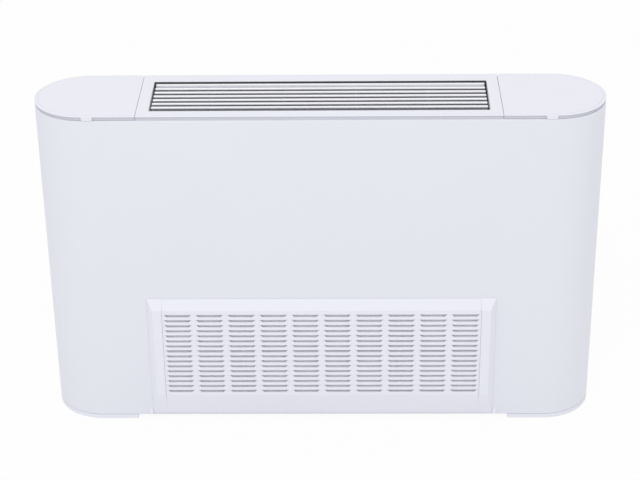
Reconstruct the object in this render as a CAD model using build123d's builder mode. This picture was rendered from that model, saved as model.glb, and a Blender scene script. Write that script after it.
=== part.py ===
from build123d import *
import os
from math import acos, cos, degrees, radians, sin

os.makedirs("parts", exist_ok=True)

# Floor-ceiling air conditioner: a fan coil unit in an exposed cabinet.
# Millimetres. X runs along the width, Y from the room to the wall, Z up.
# The origin is on the floor, at the middle of the overall box.

# Cabinet, all folded from one gauge of painted sheet
cabinet_width = 1000
casing_depth = 180
casing_height = 601
sheet = 1.2
flange_width = 16
rear_return = 25
fold_radius = 2
intake_window_inset = 8
intake_window_round = 8

# Foam sheet behind the upper front
foam_thickness = 5
foam_low = 304
foam_top_gap = 8
foam_side_gap = 12

# Moulded covers on top: an outlet section between two hinged lids
lid_length = 184.5
cover_height = 9
cover_edge = 3.5
cover_round = 3.2
cover_undercut = 3
cover_skin = 2.5
cover_wall = 2.5
split_gap = 0.8
lid_lift = 0.4

# Air outlet with its fixed blades
outlet_side_margin = 22
outlet_front_margin = 21
outlet_length = 125
blade_count = 7
blade_pitch = 16.1
blade_thickness = 1.8
blade_lip = 4
blade_bend = 4
blade_leg = 9
blade_drop = 1
outlet_collar = 22
outlet_rib_thickness = 2
outlet_rib_count = 4
outlet_rib_margin = 82.5
outlet_rib_drop = 1

# Lid hinges and finger tabs
hinge_pin_radius = 1
hinge_knuckle_radius = 2.4
hinge_knuckle = 36
hinge_lid_knuckle = 11
hinge_gap = 0.5
hinge_plate_gap = 0.8
hinge_edge_gap = 0.1
hinge_end_gap = 3.6
hinge_notch_margin = 3
running_gap = 0.05
tab_size = (19, 5.2)
tab_round = 2.4
tab_place = 82.5

# End frames under the lids
frame_inset = 8.5
frame_skin = 2
frame_inner_margin = 30
frame_outer_margin = 44.5
frame_opening_depth = 96
frame_opening_shift = 6
frame_opening_round = 6
frame_collar = 19
frame_wall = 2.5
frame_edge_gap = 2

# Feet
foot_height = 8
foot_length = 156
foot_wall = 3
foot_skin = 2.5
foot_ribs = 3
foot_rib_recess = 1

# Intake grille: a louvred tray between two moulded ends
grille_side_gap = 0.5
grille_end_width = 27
grille_proud = 12
grille_end_step = 0.8
grille_gap = 0.4
grille_seam = 0.1
grille_round = 2.5
grille_wall = 2.2
grille_top = 257
grille_flat_top = 238
grille_flat_bottom = 58
grille_bottom = 14
grille_bottom_lip = 2.6
grille_side_bevel = 10
louvre_plate = 2.6
louvre_side_margin = 2.4
louvre_rows = 16
louvre_column_pitch = 57.8
louvre_row_pitch = 10.7
louvre_width = 50.6
louvre_foot_width = 40.6
louvre_height = 6
louvre_rise = 0.3
louvre_middle = 146.7
louvre_slope = 1.4
louvre_land = 0.8
pivot_radius = 1.5
pivot_proud = 2.2
pivot_height = 14.5
pivot_length = 7
lug_width = 6
lug_wall = 1.5
lug_height = 5

# Air filter, clipped in the hollow of the tray
filter_frame_width = 8
filter_thickness = 5
filter_net = 1
filter_gap = 0.6
filter_end_gap = 2

# Chassis of galvanised sheet
chassis_side_gap = 3.5
chassis_tab = 20
back_plate_overhang = 68
back_plate_end_gap = 4.5
back_flange = 12
back_flange_gap = 0.5
wall_hole_radius = 4.5
wall_hole_offset = 28
wall_hole_margin = 56
pipe_opening_width = 36
pipe_opening_round = 8
pipe_opening_low = 196
pipe_opening_high = 356
return_opening_height = 60
pipe_place = 42
bead_width = 12
bead_height = 0.8
bead_length = 440
bead_pitch = 130
bead_count = 4
deck_height = 236
deck_front_gap = 8
bottom_front_gap = 4
plate_gap = 0.3
screw_radius = 2
screw_offset = 14
screw_front_margin = 4
screw_head_radius = 3.6
screw_head_height = 2
screw_head_gap = 1
screw_length = 8

# Fan: two double-inlet wheels on one shaft through the motor
fan_middle = 128
fan_back = 2
wheel_radius = 60
wheel_inner_radius = 49
wheel_width = 134
wheel_disc = 2
wheel_ring = 3
wheel_ring_width = 3
blades_per_wheel = 28
fan_blade_thickness = 1.4
fan_blade_curve = 1.2
fan_blade_inset = 0.4
fan_place = 150
hub_radius = 14
hub_length = 24
shaft_radius = 6
shaft_length = 326
shaft_chamfer = 0.8
scroll_width = 148
scroll_wall = 1.5
scroll_start = 66
scroll_step = 6
scroll_cutoff = 10
scroll_inlet_radius = 47
scroll_mouth = 4
scroll_flange = 6

# Motor
motor_radius = 46
motor_length = 84
motor_boss_radius = 15
motor_boss_length = 10
motor_shoulder = (8, 4)
mount_ring_radius = 20
mount_ring_length = 8
mount_ring_gap = 1
cradle_sheet = 2.5
cradle_width = 64
cradle_rim = 6

# Coil
coil_end_room = 30
coil_slab = 250
coil_thickness = 44
coil_tilt = 25
coil_height = 412
coil_back = 4
coil_plate = 1.5
coil_plate_lip = 3
coil_plate_flange = 12
coil_window_gap = 1
coil_window_round = 6
tube_radius = 4.8
tube_pitch = 41
tube_rows = 6
row_offset = 11
header_radius = 10
header_length = 182
header_shift = 20.5
socket_bore = 12.06
socket_depth = 16
socket_length = 24
socket_across = 32
supply_socket_along = -101
supply_socket_end = 44
return_socket_along = 74
return_socket_end = 90

vent_radius = 7
vent_length = 16
vent_screw_radius = 3
vent_screw_gap = 0.3
vent_head_radius = 5
vent_head_height = 4
vent_slot = 1.2

# Condensate
pan_front_gap = 3
pan_width = 60
pan_depth = 26
pan_height = 262
pan_wall = 1.5
pan_end_gap = 2
pan_slope = 6
pan_round = 4
spigot_radius = 9.5
spigot_bore = 7.5
spigot_length = 34
spigot_place = 36
spigot_gap = 1.5
tray_length = 96
tray_depth = 110
tray_height = 214
tray_wall_height = 22
tray_round = 10
tray_hanger = 4
tray_spigot_length = 28
tray_shoulder_radius = 10.8
tray_shoulder = 3

# Electrics
box_depth = 60
box_width = 96
box_height = 190
box_top_gap = 89
box_shift = 8
panel_sheet = 2.5
knob_radius = 13
knob_height = 13
knob_places = (-22, 22)
knob_stub_radius = 3
switch_size = (34, 34, 22)
switch_round = 3
knob_lift = 0.4
knob_grip = 7
terminal_pitch = 10
terminal_count = 8
terminal_place = 46
terminal_depth = 16
terminal_width = 22
terminal_wall = 3
terminal_well = 6
terminal_row_pitch = 12
capacitor_radius = 15
capacitor_length = 70
capacitor_place = 84
gland_bore = 5
gland_radius = 9
gland_thread = 7
gland_length = 20
gland_place = 14
gland_side = 36

# Places that follow from the sizes above
front_y = grille_proud / 2 - casing_depth / 2
rear_y = grille_proud / 2 + casing_depth / 2
middle_y = (front_y + rear_y) / 2
casing_bottom = foot_height
flange_top = casing_bottom + casing_height
cabinet_top = flange_top + cover_height
end_radius = casing_depth / 2
tangent_x = cabinet_width / 2 - end_radius
section_half = cabinet_width / 2 - lid_length
chassis_half = section_half - chassis_side_gap
grille_half = section_half - grille_side_gap
tray_half = grille_half - grille_end_width
outlet_width = 2 * (section_half - outlet_side_margin)
plate_inner_y = rear_y - sheet
return_x = tangent_x - rear_return
pipe_x = chassis_half + pipe_place
screw_x = chassis_half + screw_offset
screw_y = front_y + flange_width - screw_front_margin
foot_start = cabinet_width / 2 - foot_length
tilt = radians(coil_tilt)
box_base = flange_top - box_top_gap - box_height


def keep(piece, name):
    """Label a finished piece and write it."""
    piece.label = name
    export_step(piece, f"parts/{name}.step")


def keep_pair(left_piece, name):
    """Write a left-hand piece and its mirror image on the right."""
    keep(left_piece, f"{name}_left")
    keep(mirror(left_piece, about=Plane.YZ), f"{name}_right")


def plan(height, inset=0, low_x=-cabinet_width, high_x=cabinet_width):
    """The cabinet's round-ended outline at a height, between two cuts across it."""
    with BuildSketch(Plane((0, middle_y, height))) as outline:
        SlotOverall(cabinet_width - 2 * inset, casing_depth - 2 * inset)
        with Locations(((low_x + high_x) / 2, 0)):
            Rectangle(high_x - low_x, casing_depth, mode=Mode.INTERSECT)
    return outline.sketch


# The hollow of the casing, with the inside of its folds
with BuildPart() as casing_hollow:
    extrude(plan(casing_bottom + sheet, sheet), amount=casing_height - 2 * sheet)
    folds = casing_hollow.edges().group_by(Axis.Z)
    fillet(folds[0] + folds[-1], fold_radius - sheet)

# Front casing: one sheet wrapped round both ends, with flanges top and bottom
with BuildPart() as casing:
    extrude(plan(casing_bottom), amount=casing_height)
    folds = casing.edges().group_by(Axis.Z)
    fillet(folds[0] + folds[-1], fold_radius)
    add(casing_hollow.part, mode=Mode.SUBTRACT)
    extrude(plan(casing_bottom, flange_width), amount=casing_height, mode=Mode.SUBTRACT)
    with BuildSketch(Plane((0, rear_y, 0), x_dir=(1, 0, 0), z_dir=(0, 1, 0))):
        with Locations((0, -(casing_bottom + casing_height / 2))):
            Rectangle(2 * return_x, casing_height)
    extrude(amount=-flange_width - 1, mode=Mode.SUBTRACT)
    with BuildSketch(Plane.XZ.offset(-front_y)):
        with Locations((0, (grille_flat_bottom + grille_flat_top) / 2)):
            RectangleRounded(
                2 * (tray_half - intake_window_inset),
                grille_flat_top - grille_flat_bottom,
                intake_window_round,
            )
    extrude(amount=-3 * sheet, both=True, mode=Mode.SUBTRACT)
    with BuildSketch(Plane.XY.offset(casing_bottom)):
        with Locations((screw_x, screw_y), (-screw_x, screw_y)):
            Circle(screw_radius + running_gap)
    extrude(amount=casing_height, mode=Mode.SUBTRACT)
keep(casing.part, "casing")

# Foam sheet glued behind the upper front
foam_high = flange_top - foam_top_gap
with BuildPart() as front_insulation:
    with BuildSketch(Plane.XZ.offset(-(front_y + sheet))):
        with Locations((0, (foam_low + foam_high) / 2)):
            Rectangle(2 * (chassis_half - foam_side_gap), foam_high - foam_low)
    extrude(amount=-foam_thickness)
keep(front_insulation.part, "front_insulation")


# Feet: moulded end caps that close the casing below and carry it
with BuildPart() as foot:
    inner_x = -foot_start
    extrude(plan(0, 0, -cabinet_width, inner_x), amount=foot_height)
    extrude(
        plan(0, foot_wall, -cabinet_width, inner_x - foot_wall),
        amount=foot_height - foot_skin,
        mode=Mode.SUBTRACT,
    )
    rib_pitch = foot_length / (foot_ribs + 1)
    for number in range(1, foot_ribs + 1):
        rib_x = inner_x - number * rib_pitch
        extrude(
            plan(0, foot_rib_recess, rib_x - foot_wall / 2, rib_x + foot_wall / 2),
            amount=foot_height - foot_skin,
        )
    with BuildSketch(Plane.XY):
        with Locations((inner_x - foot_length / 2, middle_y)):
            Rectangle(foot_length - foot_wall, foot_wall)
    extrude(amount=foot_height - foot_skin)
keep_pair(foot.part, "foot")


def cover_solid(low_x, high_x, base):
    """A moulded cover: undercut edge, rounded upper rim, flat top."""
    edge_z = cabinet_top - cover_edge
    with BuildPart() as cover:
        loft([plan(base, cover_undercut, low_x, high_x), plan(edge_z, 0, low_x, high_x)])
        extrude(plan(edge_z, 0, low_x, high_x), amount=cover_edge)
        rim = cover.edges().group_by(Axis.Z)[-1]
        cut = split_gap / 4
        outer = [e for e in rim if abs(e.center().X - low_x) > cut and abs(e.center().X - high_x) > cut]
        fillet(outer, cover_round)
        rim_inset = cover_undercut + cover_wall
        extrude(
            plan(base, rim_inset, low_x, high_x),
            amount=cabinet_top - cover_skin - base,
            mode=Mode.SUBTRACT,
        )
    return cover.part


# Outlet section: the moulded frame, its collar, cross ribs and fixed blades
outlet_front_y = front_y + outlet_front_margin
outlet_middle_y = outlet_front_y + outlet_length / 2
outlet_rib_pitch = (outlet_width - 2 * outlet_rib_margin) / (outlet_rib_count - 1)
blade_base = cabinet_top - blade_drop
with BuildPart() as outlet_grille:
    half = section_half - split_gap / 2
    add(cover_solid(-half, half, flange_top))
    with BuildSketch(Plane.XY.offset(cabinet_top)):
        with Locations((0, outlet_middle_y)):
            Rectangle(outlet_width + 2 * cover_wall, outlet_length + 2 * cover_wall)
    extrude(amount=-outlet_collar)
    with BuildSketch(Plane.XY.offset(cabinet_top)):
        with Locations((0, outlet_middle_y)):
            Rectangle(outlet_width, outlet_length)
    extrude(amount=-outlet_collar, mode=Mode.SUBTRACT)
    with BuildSketch(Plane.YZ):
        first_y = outlet_middle_y - blade_pitch * (blade_count - 1) / 2
        for number in range(blade_count):
            with BuildLine():
                tip = (first_y + number * blade_pitch - blade_lip, blade_base - blade_thickness / 2)
                bend = (tip[0] + blade_lip, tip[1])
                lip = Line(tip, bend)
                turn = TangentArc(
                    bend, (bend[0] + blade_bend, bend[1] - blade_bend), tangent=(1, 0)
                )
                leg = Line(turn @ 1, (turn @ 1) + Vector(0, -blade_leg))
                offset(
                    [lip, turn, leg], amount=blade_thickness / 2, side=Side.BOTH
                )
            make_face()
    extrude(amount=outlet_width / 2, both=True)
    with BuildSketch(Plane.XY.offset(blade_base - blade_bend - blade_thickness)):
        with Locations((0, outlet_middle_y)):
            with GridLocations(outlet_rib_pitch, 0, outlet_rib_count, 1):
                Rectangle(outlet_rib_thickness, outlet_length)
    extrude(amount=outlet_rib_drop - blade_leg)
keep(outlet_grille.part, "outlet_grille")

# Lids: the left one is drawn, the right one mirrors it
hinge_y = rear_y - hinge_knuckle_radius - hinge_edge_gap
hinge_z = cabinet_top - hinge_knuckle_radius - hinge_edge_gap
hinge_half = hinge_knuckle / 2 + hinge_gap + hinge_lid_knuckle
lid_edge_x = -section_half - split_gap / 2
hinge_middle_x = lid_edge_x - hinge_end_gap - hinge_half
hinge_low_x = hinge_middle_x - hinge_half - hinge_notch_margin
plate_rear_y = hinge_y - hinge_knuckle_radius - hinge_plate_gap
lid_knuckle_places = (
    hinge_middle_x - hinge_knuckle / 2 - hinge_gap - hinge_lid_knuckle / 2,
    hinge_middle_x + hinge_knuckle / 2 + hinge_gap + hinge_lid_knuckle / 2,
)
with BuildPart() as lid:
    add(cover_solid(-cabinet_width, lid_edge_x, flange_top + lid_lift))
    with BuildSketch(Plane.XY.offset(flange_top)):
        with Locations(((hinge_low_x + lid_edge_x) / 2, (plate_rear_y + rear_y) / 2)):
            Rectangle(lid_edge_x - hinge_low_x, rear_y - plate_rear_y)
    extrude(amount=cover_height, mode=Mode.SUBTRACT)
    for place in lid_knuckle_places:
        with BuildSketch(Plane.YZ.offset(place - hinge_lid_knuckle / 2)):
            with Locations((hinge_y, hinge_z)):
                Circle(hinge_knuckle_radius)
            with Locations((hinge_y - hinge_knuckle_radius, hinge_z + hinge_knuckle_radius / 2)):
                Rectangle(2 * hinge_knuckle_radius, hinge_knuckle_radius)
        extrude(amount=hinge_lid_knuckle)
    with BuildSketch(Plane.YZ.offset(hinge_low_x)):
        with Locations((hinge_y, hinge_z)):
            Circle(hinge_pin_radius + running_gap)
    extrude(amount=2 * (hinge_half + hinge_notch_margin), mode=Mode.SUBTRACT)
    with BuildSketch(Plane.XZ.offset(-front_y)):
        with Locations((-section_half - tab_place, flange_top + lid_lift + tab_size[1] / 2)):
            RectangleRounded(*tab_size, tab_round)
    extrude(amount=-cover_undercut - cover_wall / 2)
keep_pair(lid.part, "lid")

# Hinge pins, pressed into the middle knuckle of each end frame
with BuildPart() as lid_pin:
    with BuildSketch(Plane.YZ.offset(hinge_middle_x - hinge_half)):
        with Locations((hinge_y, hinge_z)):
            Circle(hinge_pin_radius)
    extrude(amount=2 * hinge_half)
keep_pair(lid_pin.part, "lid_pin")

# End frames: moulded decks on the casing's flange that the lids close on
frame_edge_x = -section_half - frame_edge_gap
frame_opening_length = lid_length - frame_inner_margin - frame_outer_margin
frame_middle_x = -section_half - frame_inner_margin - frame_opening_length / 2
frame_middle_y = middle_y - frame_opening_shift
frame_top = flange_top + frame_skin
collar_size = (frame_opening_length + 2 * frame_wall, frame_opening_depth + 2 * frame_wall)
frame_rear_y = rear_y - frame_inset
with BuildPart() as end_frame:
    extrude(plan(flange_top, frame_inset, -cabinet_width, frame_edge_x), amount=frame_skin)
    with BuildSketch(Plane.XY.offset(frame_top)):
        with Locations((frame_middle_x, frame_middle_y)):
            RectangleRounded(*collar_size, frame_opening_round + frame_wall)
    extrude(amount=-frame_collar)
    with BuildSketch(Plane.XY.offset(frame_top)):
        with Locations((frame_middle_x, frame_middle_y)):
            RectangleRounded(frame_opening_length, frame_opening_depth, frame_opening_round)
    extrude(amount=-frame_collar, mode=Mode.SUBTRACT)
    with BuildSketch(Plane.XY.offset(flange_top)):
        with Locations((-screw_x, screw_y)):
            Circle(screw_head_radius + screw_head_gap)
    extrude(amount=frame_skin, mode=Mode.SUBTRACT)
    with BuildSketch(Plane.YZ.offset(hinge_middle_x - hinge_knuckle / 2)):
        with BuildLine():
            Polyline(
                (frame_rear_y - hinge_knuckle_radius, flange_top),
                (frame_rear_y - hinge_knuckle_radius, frame_top),
                (hinge_y - hinge_knuckle_radius, hinge_z - hinge_pin_radius),
                (hinge_y, hinge_z),
                (hinge_y + hinge_knuckle_radius, hinge_z),
                (frame_rear_y + frame_skin, flange_top + lid_lift),
                (frame_rear_y, flange_top),
                close=True,
            )
        make_face()
        with Locations((hinge_y, hinge_z)):
            Circle(hinge_knuckle_radius)
            Circle(hinge_pin_radius, mode=Mode.SUBTRACT)
    extrude(amount=hinge_knuckle)
keep_pair(end_frame.part, "end_frame")


def tray_face(place_x, proud, wall=0):
    """The intake tray's profile across its length, drawn inside the outer one by a wall."""
    back_y = front_y - grille_gap + (wall and grille_wall)
    face_y = front_y - proud + wall * louvre_plate / grille_wall
    with BuildSketch(Plane.YZ.offset(place_x)) as face:
        with BuildLine():
            Polyline(
                (back_y, grille_bottom + wall),
                (front_y - grille_bottom_lip, grille_bottom + wall),
                (face_y, grille_flat_bottom),
                (face_y, grille_flat_top),
                (back_y, grille_top + proud - grille_tray_proud - 2 * wall),
                close=True,
            )
        make_face()
    return face.sketch


# Intake grille: the louvred tray between its ends
grille_tray_proud = grille_proud - grille_end_step
tray_face_y = front_y - grille_tray_proud
louvre_span = 2 * (tray_half - louvre_side_margin) - louvre_width
louvre_columns = int(louvre_span / louvre_column_pitch) + 1
with BuildPart() as intake_grille:
    extrude(tray_face(0, grille_tray_proud), amount=tray_half - grille_seam / 2, both=True)
    extrude(
        tray_face(0, grille_tray_proud, grille_wall),
        amount=tray_half - grille_seam / 2 - grille_wall,
        both=True,
        mode=Mode.SUBTRACT,
    )
    with BuildSketch(Plane.XZ.offset(1 - tray_face_y)):
        with Locations((0, louvre_middle - louvre_rise)):
            with GridLocations(louvre_column_pitch, louvre_row_pitch, louvre_columns, louvre_rows):
                Polygon(
                    (-louvre_width / 2, louvre_height / 2),
                    (-louvre_foot_width / 2, -louvre_height / 2),
                    (louvre_foot_width / 2, -louvre_height / 2),
                    (louvre_width / 2, louvre_height / 2),
                    align=None,
                )
    extrude(amount=2 * louvre_plate, dir=(0, 1, louvre_rise), mode=Mode.SUBTRACT)
    for column in range(louvre_columns):
        column_x = (column - (louvre_columns - 1) / 2) * louvre_column_pitch
        with BuildSketch(Plane.YZ.offset(column_x - louvre_width / 2)):
            with Locations((tray_face_y, louvre_middle)):
                with GridLocations(0, louvre_row_pitch, 1, louvre_rows):
                    Polygon(
                        (0, louvre_height / 2 - louvre_row_pitch + louvre_land),
                        (louvre_slope, louvre_height / 2),
                        (0, louvre_height / 2),
                        align=None,
                    )
        extrude(amount=louvre_width, mode=Mode.SUBTRACT)
keep(intake_grille.part, "intake_grille")

# Grille ends: moulded caps with a bevelled side and a pivot pin at the foot
with BuildPart() as grille_end:
    extrude(tray_face(-grille_half, grille_proud), amount=grille_end_width - grille_seam / 2)
    with BuildSketch(Plane.XY.offset(grille_bottom)):
        with BuildLine():
            Polyline(
                (-grille_half, front_y),
                (-grille_half, front_y - grille_gap - grille_end_step),
                (-grille_half + grille_side_bevel, front_y - grille_proud),
                (-grille_half + grille_side_bevel, front_y - 2 * grille_proud),
                (-grille_half - grille_end_step, front_y - 2 * grille_proud),
                (-grille_half - grille_end_step, front_y),
                close=True,
            )
        make_face()
    extrude(amount=grille_top, mode=Mode.SUBTRACT)
    front_edges = grille_end.edges().filter_by(Axis.X, reverse=True).filter_by(
        lambda edge: edge.center().Y < front_y - grille_proud + 0.1
    )
    fillet(front_edges.filter_by(Axis.Z), grille_round)
    extrude(
        tray_face(-grille_half + grille_side_bevel, grille_proud, grille_wall),
        amount=grille_end_width - grille_side_bevel - grille_wall,
        mode=Mode.SUBTRACT,
    )
    with BuildSketch(Plane.YZ.offset(-grille_half)):
        with Locations((front_y - pivot_proud, pivot_height)):
            Circle(pivot_radius)
    extrude(amount=-pivot_length)
keep_pair(grille_end.part, "grille_end")

# Pivot lugs: small brackets on the casing's front that hold the grille's pins
with BuildPart() as pivot_lug:
    lug_x = -grille_half - grille_gap
    with BuildSketch(Plane.YZ.offset(lug_x)):
        with BuildLine():
            Polyline(
                (front_y, casing_bottom + fold_radius),
                (front_y - lug_wall, casing_bottom + fold_radius),
                (front_y - pivot_proud - pivot_radius - lug_wall, pivot_height - lug_wall),
                (front_y - pivot_proud - pivot_radius - lug_wall, pivot_height + lug_wall),
                (front_y, pivot_height + lug_height),
                close=True,
            )
        make_face()
        with Locations((front_y - pivot_proud, pivot_height)):
            Circle(pivot_radius + running_gap, mode=Mode.SUBTRACT)
    extrude(amount=-lug_width)
keep_pair(pivot_lug.part, "grille_pivot")

# Filter: a moulded frame with cross bars that holds the net in the tray's hollow
filter_half = tray_half - grille_wall - filter_gap - grille_gap
filter_low = grille_flat_bottom + filter_end_gap
filter_high = grille_flat_top - filter_end_gap
filter_face_y = tray_face_y + louvre_plate + filter_gap
filter_middle = (filter_low + filter_high) / 2
filter_size = (2 * filter_half, filter_high - filter_low)
with BuildPart() as filter_frame:
    with BuildSketch(Plane.XZ.offset(-filter_face_y)):
        with Locations((0, filter_middle)):
            Rectangle(*filter_size)
            with GridLocations(filter_size[0] / 4, filter_size[1] / 2, 4, 2):
                Rectangle(
                    filter_size[0] / 4 - filter_frame_width,
                    filter_size[1] / 2 - filter_frame_width,
                    mode=Mode.SUBTRACT,
                )
    extrude(amount=-filter_thickness)
    with BuildSketch(Plane.XZ.offset(-(filter_face_y + filter_thickness / 2 - filter_net / 2))):
        with Locations((0, filter_middle)):
            Rectangle(filter_size[0] - filter_frame_width, filter_size[1] - filter_frame_width)
    extrude(amount=-filter_net, mode=Mode.SUBTRACT)
keep(filter_frame.part, "filter_frame")

with BuildPart() as filter_net_sheet:
    with BuildSketch(Plane.XZ.offset(-(filter_face_y + filter_thickness / 2 - filter_net / 2))):
        with Locations((0, filter_middle)):
            Rectangle(filter_size[0] - filter_frame_width, filter_size[1] - filter_frame_width)
    extrude(amount=-filter_net)
keep(filter_net_sheet.part, "filter_net")

# Chassis: side plates with tabs for the casing screws and a window for pipes
tab_low = casing_bottom + sheet
tab_high = flange_top - sheet
plate_x = -chassis_half
spigot_y = front_y + spigot_place
spigot_z = pan_height + pan_depth / 2
with BuildPart() as side_plate:
    with BuildSketch(Plane.YZ.offset(plate_x)):
        with BuildLine():
            Polyline(
                (front_y + 2 * sheet, tab_low),
                (plate_inner_y, tab_low),
                (plate_inner_y, tab_high),
                (front_y + 2 * sheet, tab_high),
                close=True,
            )
        make_face()
        with Locations((coil_back, coil_height)):
            RectangleRounded(
                coil_thickness + 2 * (coil_plate_lip + coil_window_gap),
                coil_slab + 2 * (coil_plate_lip + coil_window_gap),
                coil_window_round,
                rotation=-coil_tilt,
                mode=Mode.SUBTRACT,
            )
        with Locations((spigot_y, spigot_z)):
            Circle(spigot_radius + spigot_gap, mode=Mode.SUBTRACT)
    extrude(amount=sheet)
    for low in (tab_low, tab_high - sheet):
        with BuildSketch(Plane.XY.offset(low)):
            with Locations((plate_x - chassis_tab / 2 + sheet / 2, front_y + 2 * sheet + chassis_tab / 2)):
                Rectangle(chassis_tab + sheet, chassis_tab)
            with Locations((-screw_x, screw_y)):
                Circle(screw_radius, mode=Mode.SUBTRACT)
        extrude(amount=sheet)
    with BuildSketch(Plane.XY.offset(tab_low)):
        with Locations((plate_x - chassis_tab / 2 + sheet / 2, plate_inner_y - sheet / 2)):
            Rectangle(chassis_tab + sheet, sheet)
    extrude(amount=tab_high - tab_low)
keep_pair(side_plate.part, "side_plate")

# Back plate: carries the wall holes, with flanges and openings for the pipes
back_low = casing_bottom + back_plate_end_gap
back_height = casing_height - 2 * back_plate_end_gap
back_middle = back_low + back_height / 2
return_socket_z = coil_height + return_socket_along * cos(tilt) - row_offset * sin(tilt)
inner_half = chassis_half - sheet
with BuildPart() as back_plate:
    with BuildSketch(Plane.XZ.offset(-rear_y)):
        with Locations((0, back_middle)):
            Rectangle(2 * (chassis_half + back_plate_overhang), back_height)
            with GridLocations(
                2 * (chassis_half + wall_hole_offset), back_height - 2 * wall_hole_margin, 2, 2
            ):
                Circle(wall_hole_radius, mode=Mode.SUBTRACT)
        for side in (-1, 1):
            with Locations((side * pipe_x, (pipe_opening_low + pipe_opening_high) / 2)):
                RectangleRounded(
                    pipe_opening_width,
                    pipe_opening_high - pipe_opening_low,
                    pipe_opening_round,
                    mode=Mode.SUBTRACT,
                )
            with Locations((side * pipe_x, return_socket_z)):
                RectangleRounded(
                    pipe_opening_width, return_opening_height, pipe_opening_round, mode=Mode.SUBTRACT
                )
    extrude(amount=sheet)
    with BuildSketch(Plane.XZ.offset(-plate_inner_y)):
        with Locations((0, back_middle)):
            with GridLocations(bead_pitch, 0, bead_count, 1):
                SlotOverall(bead_length, bead_width, rotation=90)
    extrude(amount=bead_height, taper=30)
    with BuildSketch(Plane.XZ.offset(-rear_y)):
        with Locations((0, back_middle)):
            with GridLocations(bead_pitch, 0, bead_count, 1):
                SlotOverall(bead_length - 2 * sheet, bead_width - 2 * sheet, rotation=90)
    extrude(amount=bead_height, taper=30, mode=Mode.SUBTRACT)
    for height in (back_low, back_low + back_height - sheet):
        with BuildSketch(Plane.XY.offset(height)):
            with Locations((0, rear_y - back_flange / 2)):
                Rectangle(2 * (inner_half - back_flange_gap), back_flange)
        extrude(amount=sheet)
keep(back_plate.part, "back_plate")

# Bottom plate, resting on the casing's lower flange
bottom_half = inner_half - plate_gap
bottom_front_y = front_y + bottom_front_gap
bottom_rear_y = rear_y - back_flange - back_flange_gap
with BuildPart() as bottom_plate:
    with BuildSketch(Plane.XY.offset(tab_low)):
        with Locations((0, (bottom_front_y + bottom_rear_y) / 2)):
            Rectangle(2 * bottom_half, bottom_rear_y - bottom_front_y)
    extrude(amount=sheet)
    with BuildSketch(Plane.XY.offset(tab_low)):
        with Locations((0, bottom_front_y + sheet / 2), (0, bottom_rear_y - sheet / 2)):
            Rectangle(2 * bottom_half, sheet)
    extrude(amount=back_flange)
keep(bottom_plate.part, "bottom_plate")


# Fan housings: a spiral of three quarter turns opening into an upright throat
def scroll_outline(wall, top):
    """The spiral and throat profile, drawn inside the outer one by a wall."""
    throat_y = fan_back + scroll_cutoff + wall
    radius = scroll_start - wall
    start_angle = degrees(acos((scroll_cutoff + wall) / radius))
    second = fan_back + scroll_step
    third = fan_middle + scroll_step
    with BuildSketch(Plane.YZ) as outline:
        with BuildLine():
            cutoff = CenterArc((fan_back, fan_middle), radius, start_angle, 180 - start_angle)
            CenterArc((second, fan_middle), radius + scroll_step, 180, 90)
            rear_turn = CenterArc((second, third), radius + 2 * scroll_step, 270, 90)
            Polyline(rear_turn @ 1, ((rear_turn @ 1).X, top), (throat_y, top), cutoff @ 0)
        make_face()
    return outline.sketch


throat_low_y = fan_back + scroll_cutoff
throat_high_y = fan_back + scroll_start + 3 * scroll_step
with BuildPart() as scroll:
    extrude(scroll_outline(0, deck_height), amount=scroll_width / 2, both=True)
    with BuildSketch(Plane.YZ.offset(scroll_width / 2)):
        with Locations((fan_back, fan_middle)):
            Circle(scroll_inlet_radius + scroll_wall)
    extrude(amount=scroll_mouth)
    with BuildSketch(Plane.YZ.offset(-scroll_width / 2)):
        with Locations((fan_back, fan_middle)):
            Circle(scroll_inlet_radius + scroll_wall)
    extrude(amount=-scroll_mouth)
    with BuildSketch(Plane.XY.offset(deck_height)):
        with Locations((0, (throat_low_y + throat_high_y) / 2)):
            Rectangle(scroll_width + 2 * scroll_flange, throat_high_y - throat_low_y + scroll_flange)
    extrude(amount=-scroll_wall)
    extrude(
        scroll_outline(scroll_wall, deck_height + 1),
        amount=scroll_width / 2 - scroll_wall,
        both=True,
        mode=Mode.SUBTRACT,
    )
    with BuildSketch(Plane.YZ):
        with Locations((fan_back, fan_middle)):
            Circle(scroll_inlet_radius)
    extrude(amount=scroll_width, both=True, mode=Mode.SUBTRACT)
scroll_left = Pos(-fan_place, 0, 0) * scroll.part
keep_pair(scroll_left, "scroll")

# Fan deck: the shelf that the fans and the motor hang from
with BuildPart() as fan_deck:
    deck_low_y = front_y + sheet + deck_front_gap
    deck_high_y = plate_inner_y - bead_height - plate_gap
    with BuildSketch(Plane.XY.offset(deck_height)):
        with Locations((0, (deck_low_y + deck_high_y) / 2)):
            Rectangle(2 * bottom_half, deck_high_y - deck_low_y)
        with Locations(
            (-fan_place, (throat_low_y + throat_high_y) / 2),
            (fan_place, (throat_low_y + throat_high_y) / 2),
        ):
            Rectangle(
                scroll_width - 2 * scroll_wall,
                throat_high_y - throat_low_y - 2 * scroll_wall,
                mode=Mode.SUBTRACT,
            )
    extrude(amount=sheet)
    with BuildSketch(Plane.XY.offset(deck_height + sheet)):
        with Locations((0, deck_low_y + sheet / 2)):
            Rectangle(2 * bottom_half, sheet)
    extrude(amount=-back_flange)
keep(fan_deck.part, "fan_deck")

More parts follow.
